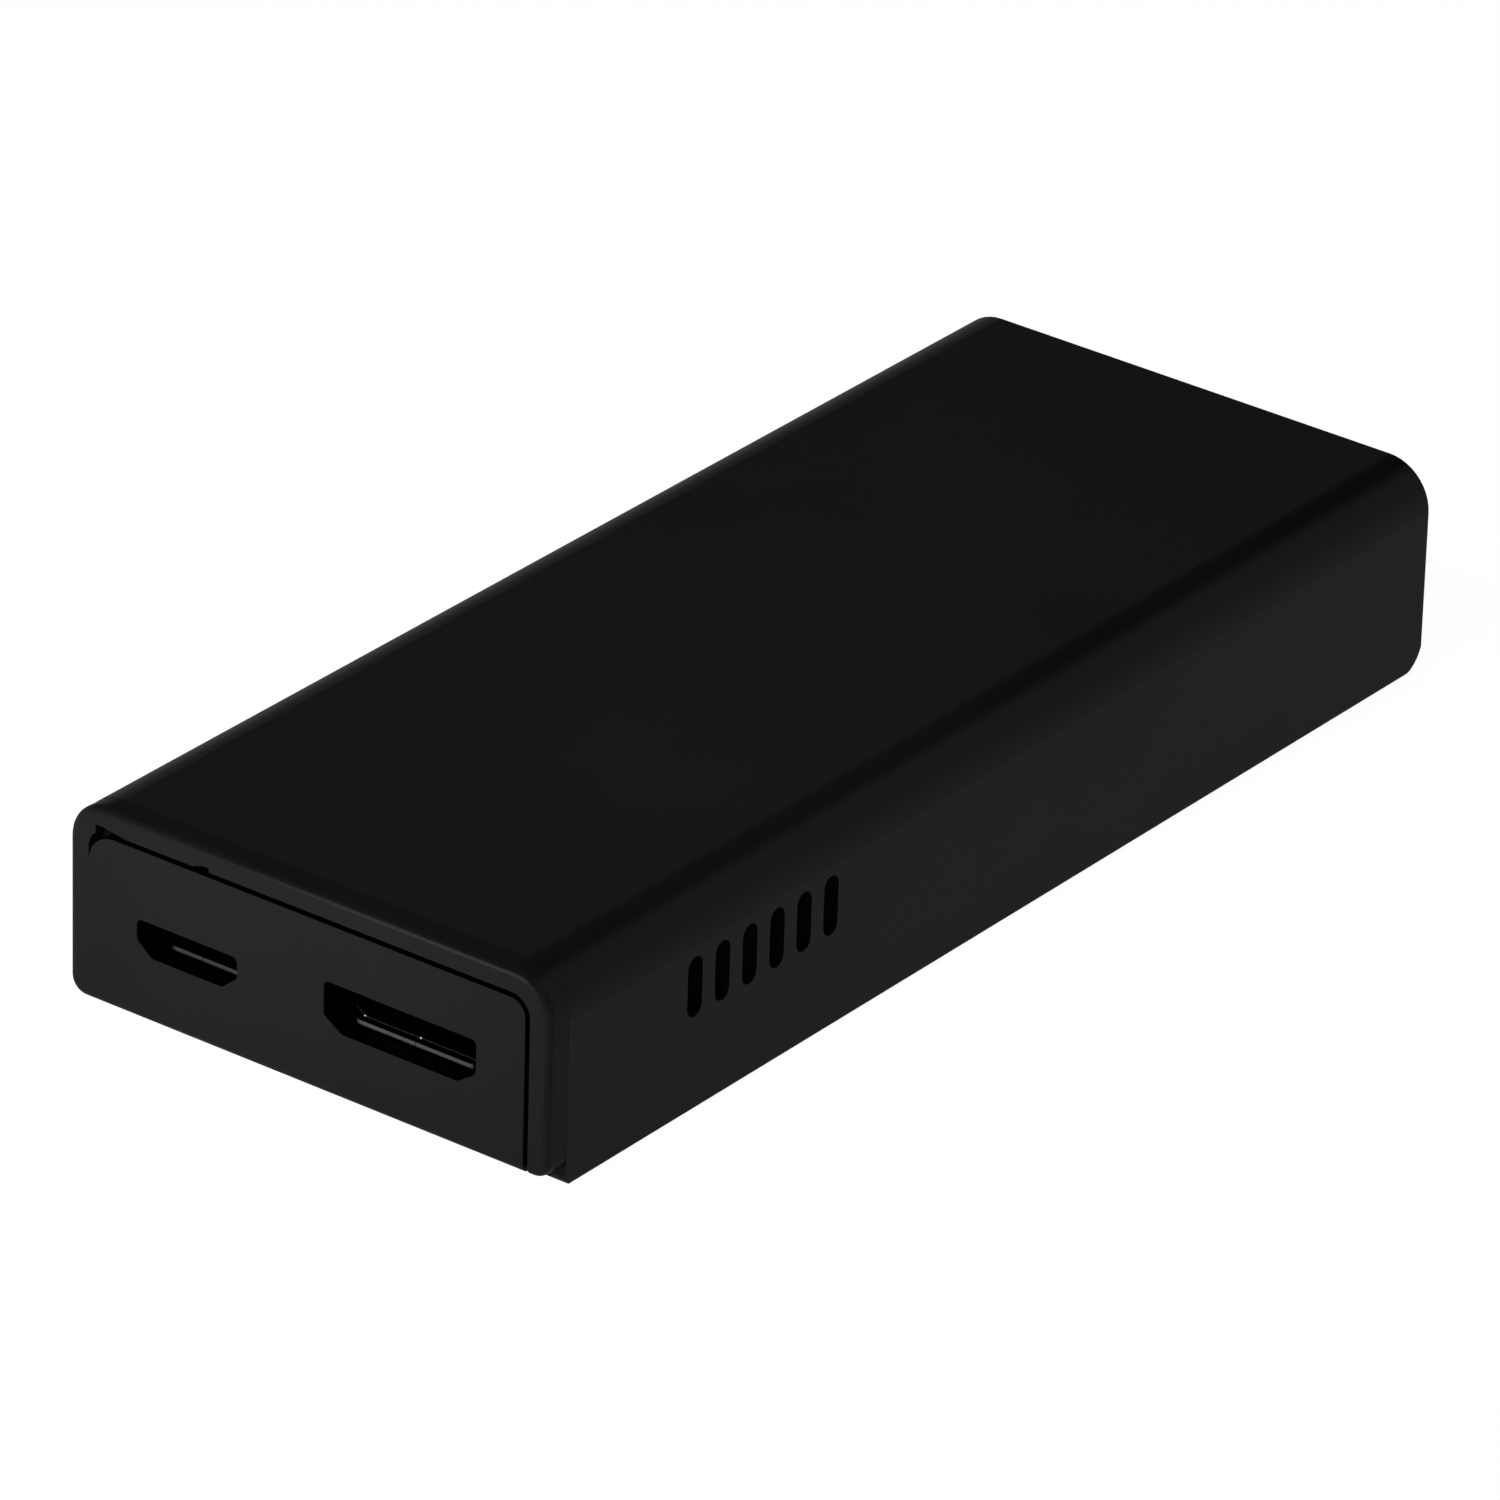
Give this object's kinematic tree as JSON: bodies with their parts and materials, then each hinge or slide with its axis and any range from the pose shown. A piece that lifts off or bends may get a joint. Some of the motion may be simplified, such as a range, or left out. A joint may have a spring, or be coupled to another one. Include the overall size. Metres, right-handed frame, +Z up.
{
  "type": "streaming media stick",
  "caption": "Flat pocket media player with round top edges, a framed socket end with power and video sockets, and side vent slots.",
  "frame": {"origin": "middle of the underside, on the plane that the stick lies on", "axes": "+Z up through the top face, +Y along the stick from the socket end to the plain end, +X across to the right as seen from the socket end"},
  "size_m": [0.037, 0.0896, 0.0142],
  "materials": {
    "case_black": "matte, fine texture",
    "board_green": "semi-gloss solder mask",
    "screw_steel": "plated",
    "socket_steel": "plated sheet",
    "insulator_black": "moulded",
    "contact_gold": "gold plated",
    "chip_black": "moulded",
    "pad_grey": "soft",
    "sink_aluminium": "satin",
    "coil_grey": "pressed powder",
    "capacitor_aluminium": "bright",
    "can_steel": "tinned sheet",
    "ceramic_tan": "sintered",
    "button_white": "moulded"
  },
  "bodies": {
    "stick": {"upper_shell": "case_black", "front_bezel": "case_black", "base_tray": "case_black", "main_board": "board_green", "board_screws": "screw_steel", "power_socket_shell": "socket_steel", "power_socket_insulator": "insulator_black", "power_socket_contacts": "contact_gold", "video_socket_shell": "socket_steel", "video_socket_insulator": "insulator_black", "video_socket_contacts": "contact_gold", "processor": "chip_black", "thermal_pad": "pad_grey", "heat_sink": "sink_aluminium", "memory_chip_left": "chip_black", "memory_chip_right": "chip_black", "storage_chip": "chip_black", "power_chip": "chip_black", "power_coil_1": "coil_grey", "power_coil_2": "coil_grey", "power_coil_3": "coil_grey", "bulk_capacitor": "capacitor_aluminium", "clock_crystal": "can_steel", "wireless_board": "board_green", "wireless_can": "can_steel", "wireless_antenna": "can_steel", "ceramic_capacitors": "ceramic_tan", "recovery_switch_body": "insulator_black", "recovery_switch_cover": "can_steel", "recovery_switch_dome": "can_steel"},
    "recovery_button": {"recovery_button": "button_white"}
  },
  "joints": [
    {"name": "recovery_button_press", "type": "slide", "parent": "stick", "child": "recovery_button", "axis": [0, 0, 1], "range_m": [0, 0.00025], "stiffness_N_per_m": 500, "deforming": ["recovery_switch_dome"]}
  ]
}
